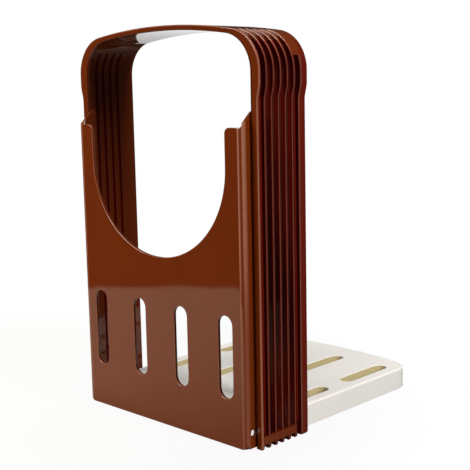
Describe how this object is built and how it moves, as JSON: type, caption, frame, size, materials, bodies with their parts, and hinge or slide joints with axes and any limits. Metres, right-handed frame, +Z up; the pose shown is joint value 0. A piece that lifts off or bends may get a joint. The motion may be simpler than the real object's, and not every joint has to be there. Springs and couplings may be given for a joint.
{
  "type": "bread slicer guide",
  "caption": "Upright comb arch with a U-cut front plate and a fold-out slotted loaf tray, for guiding a knife through bread.",
  "frame": {"origin": "middle of the footprint of the whole object in use, on the surface it stands on", "axes": "+Z up, +Y from the front plate towards the far end of the loaf tray, +X to the comb side"},
  "size_m": [0.162, 0.1788, 0.25],
  "materials": {
    "brown_plastic": "gloss",
    "white_plastic": "satin",
    "pin_plastic": "gloss"
  },
  "bodies": {
    "frame": {"comb_frame": "brown_plastic"},
    "front": {"front_plate": "brown_plastic"},
    "tray": {"tray": "white_plastic", "hinge_pin_left": "pin_plastic", "hinge_pin_right": "pin_plastic"}
  },
  "joints": [
    {"name": "front_slide", "type": "slide", "parent": "frame", "child": "front", "axis": [0, 1, 0], "range_m": [0, 0.008]},
    {"name": "tray_hinge", "type": "hinge", "parent": "front", "child": "tray", "pos_m": [0, -0.08282, 0.0105], "axis": [1, 0, 0], "range_deg": [0, 90]}
  ]
}
